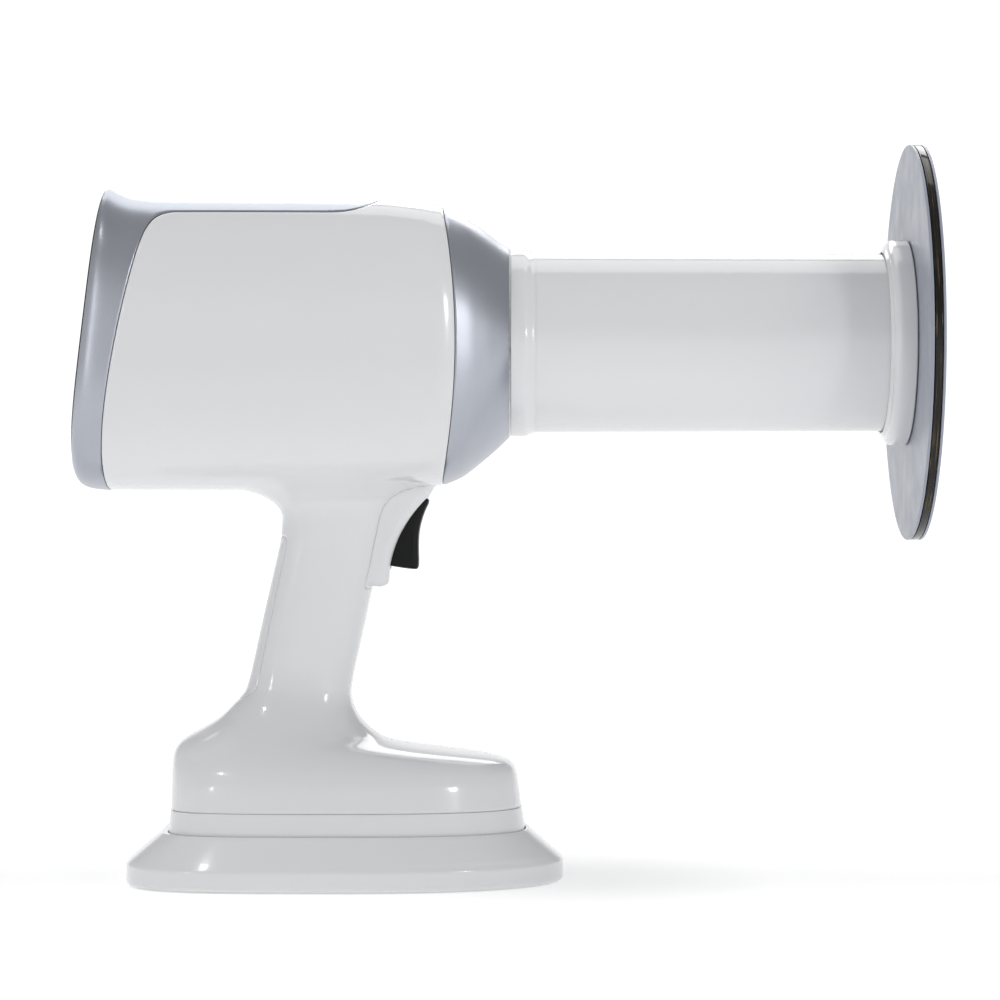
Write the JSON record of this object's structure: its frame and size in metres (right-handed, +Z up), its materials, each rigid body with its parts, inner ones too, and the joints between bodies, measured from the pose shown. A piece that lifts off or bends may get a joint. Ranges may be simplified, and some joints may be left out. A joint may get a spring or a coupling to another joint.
{
  "type": "hand-held dental x-ray unit",
  "caption": "Gun-shaped hand-held dental X-ray unit with a round backscatter shield on its beam tube, a trigger grip and a rear key panel, standing in a charging cradle.",
  "frame": {"origin": "centre of the charging cradle's underside, at the height of the surface it stands on", "axes": "+X along the beam, from the key panel to the shield; +Y to the operator's left; +Z up, the way the handset lifts out"},
  "size_m": [0.3201, 0.15, 0.2794],
  "materials": {
    "white_plastic": "moulded, gloss white",
    "silver_paint": "satin silver paint over a moulding",
    "black_plastic": "fine texture, satin",
    "dark_panel": "printed film, gloss",
    "key_rubber": "matt silicone",
    "display_glass": "clear cover over a dark display",
    "shield_skin": "satin grey",
    "lead_acrylic": "clear edge, yellow-brown",
    "rubber": "matt",
    "lead": "dull sheet",
    "aluminium": "satin",
    "steel": "satin",
    "gold_contact": "plated",
    "circuit_board": "solder mask",
    "battery_wrap": "shrink film",
    "tube_glass": "clear",
    "status_light": "clear green"
  },
  "bodies": {
    "cradle": {"cradle_shell": "white_plastic", "cradle_base_plate": "steel", "cradle_pad": "rubber", "power_inlet": "black_plastic", "charging_board": "circuit_board", "contact_pin_1": "gold_contact", "contact_pin_2": "gold_contact", "status_light": "status_light", "cradle_screw_1": "steel", "cradle_screw_2": "steel", "cradle_screw_3": "steel", "cradle_screw_4": "steel"},
    "handset": {"left_body_shell": "white_plastic", "right_body_shell": "white_plastic", "rear_bezel": "silver_paint", "control_panel": "dark_panel", "display_window": "display_glass", "display_module": "circuit_board", "control_board": "circuit_board", "front_cone": "silver_paint", "tube_base_ring": "white_plastic", "beam_tube": "white_plastic", "tube_liner": "lead", "collimator": "lead", "beam_filter": "aluminium", "generator_tank": "aluminium", "xray_tube": "tube_glass", "hv_transformer": "steel", "main_board": "circuit_board", "grip_backstrap": "white_plastic", "trigger_housing": "white_plastic", "trigger_pin": "steel", "micro_switch": "black_plastic", "trigger_spring": "steel", "battery_cell_1": "battery_wrap", "battery_cell_2": "battery_wrap", "battery_cell_3": "battery_wrap", "battery_board": "circuit_board", "foot_base": "white_plastic", "charge_contact_1": "gold_contact", "charge_contact_2": "gold_contact", "base_screw_1": "steel", "base_screw_2": "steel", "base_screw_3": "steel", "base_screw_4": "steel", "shell_screw_1": "steel", "shell_screw_2": "steel", "shell_screw_3": "steel"},
    "trigger": {"trigger": "black_plastic"},
    "switch_plunger": {"switch_plunger": "black_plastic"},
    "shield": {"shield_hub": "white_plastic", "friction_ring": "rubber", "shield_rear_plate": "shield_skin", "shield_core": "lead_acrylic", "shield_front_plate": "shield_skin"},
    "power_key": {"power_key": "key_rubber"},
    "up_key": {"up_key": "key_rubber"},
    "minus_key": {"minus_key": "key_rubber"},
    "plus_key": {"plus_key": "key_rubber"}
  },
  "joints": [
    {"name": "handset_lift", "type": "slide", "parent": "cradle", "child": "handset", "axis": [0, 0, 1], "range_m": [0, 0.08]},
    {"name": "trigger_pull", "type": "hinge", "parent": "handset", "child": "trigger", "pos_m": [0.0218, 0, 0.1424], "axis": [0, 1, 0], "range_deg": [0, 8], "stiffness_Nm_per_rad": 0.15, "springref_deg": -11.46, "deforming": ["trigger_spring"]},
    {"name": "switch_press", "type": "slide", "parent": "handset", "child": "switch_plunger", "axis": [-1, 0, 0], "range_m": [0, 0.0013]},
    {"name": "shield_slide", "type": "slide", "parent": "handset", "child": "shield", "axis": [1, 0, 0], "range_m": [-0.12, 0]},
    {"name": "power_key_press", "type": "slide", "parent": "handset", "child": "power_key", "axis": [0.9929, 0, -0.1191], "range_m": [0, 0.0005], "stiffness_N_per_m": 600, "springref_m": -0.0008},
    {"name": "up_key_press", "type": "slide", "parent": "handset", "child": "up_key", "axis": [0.9929, 0, -0.1191], "range_m": [0, 0.0005], "stiffness_N_per_m": 600, "springref_m": -0.0008},
    {"name": "minus_key_press", "type": "slide", "parent": "handset", "child": "minus_key", "axis": [0.9929, 0, -0.1191], "range_m": [0, 0.0005], "stiffness_N_per_m": 600, "springref_m": -0.0008},
    {"name": "plus_key_press", "type": "slide", "parent": "handset", "child": "plus_key", "axis": [0.9929, 0, -0.1191], "range_m": [0, 0.0005], "stiffness_N_per_m": 600, "springref_m": -0.0008}
  ],
  "couplings": [
    {"joint": "switch_press", "follows": "trigger_pull", "m_per_rad": 0.009}
  ]
}
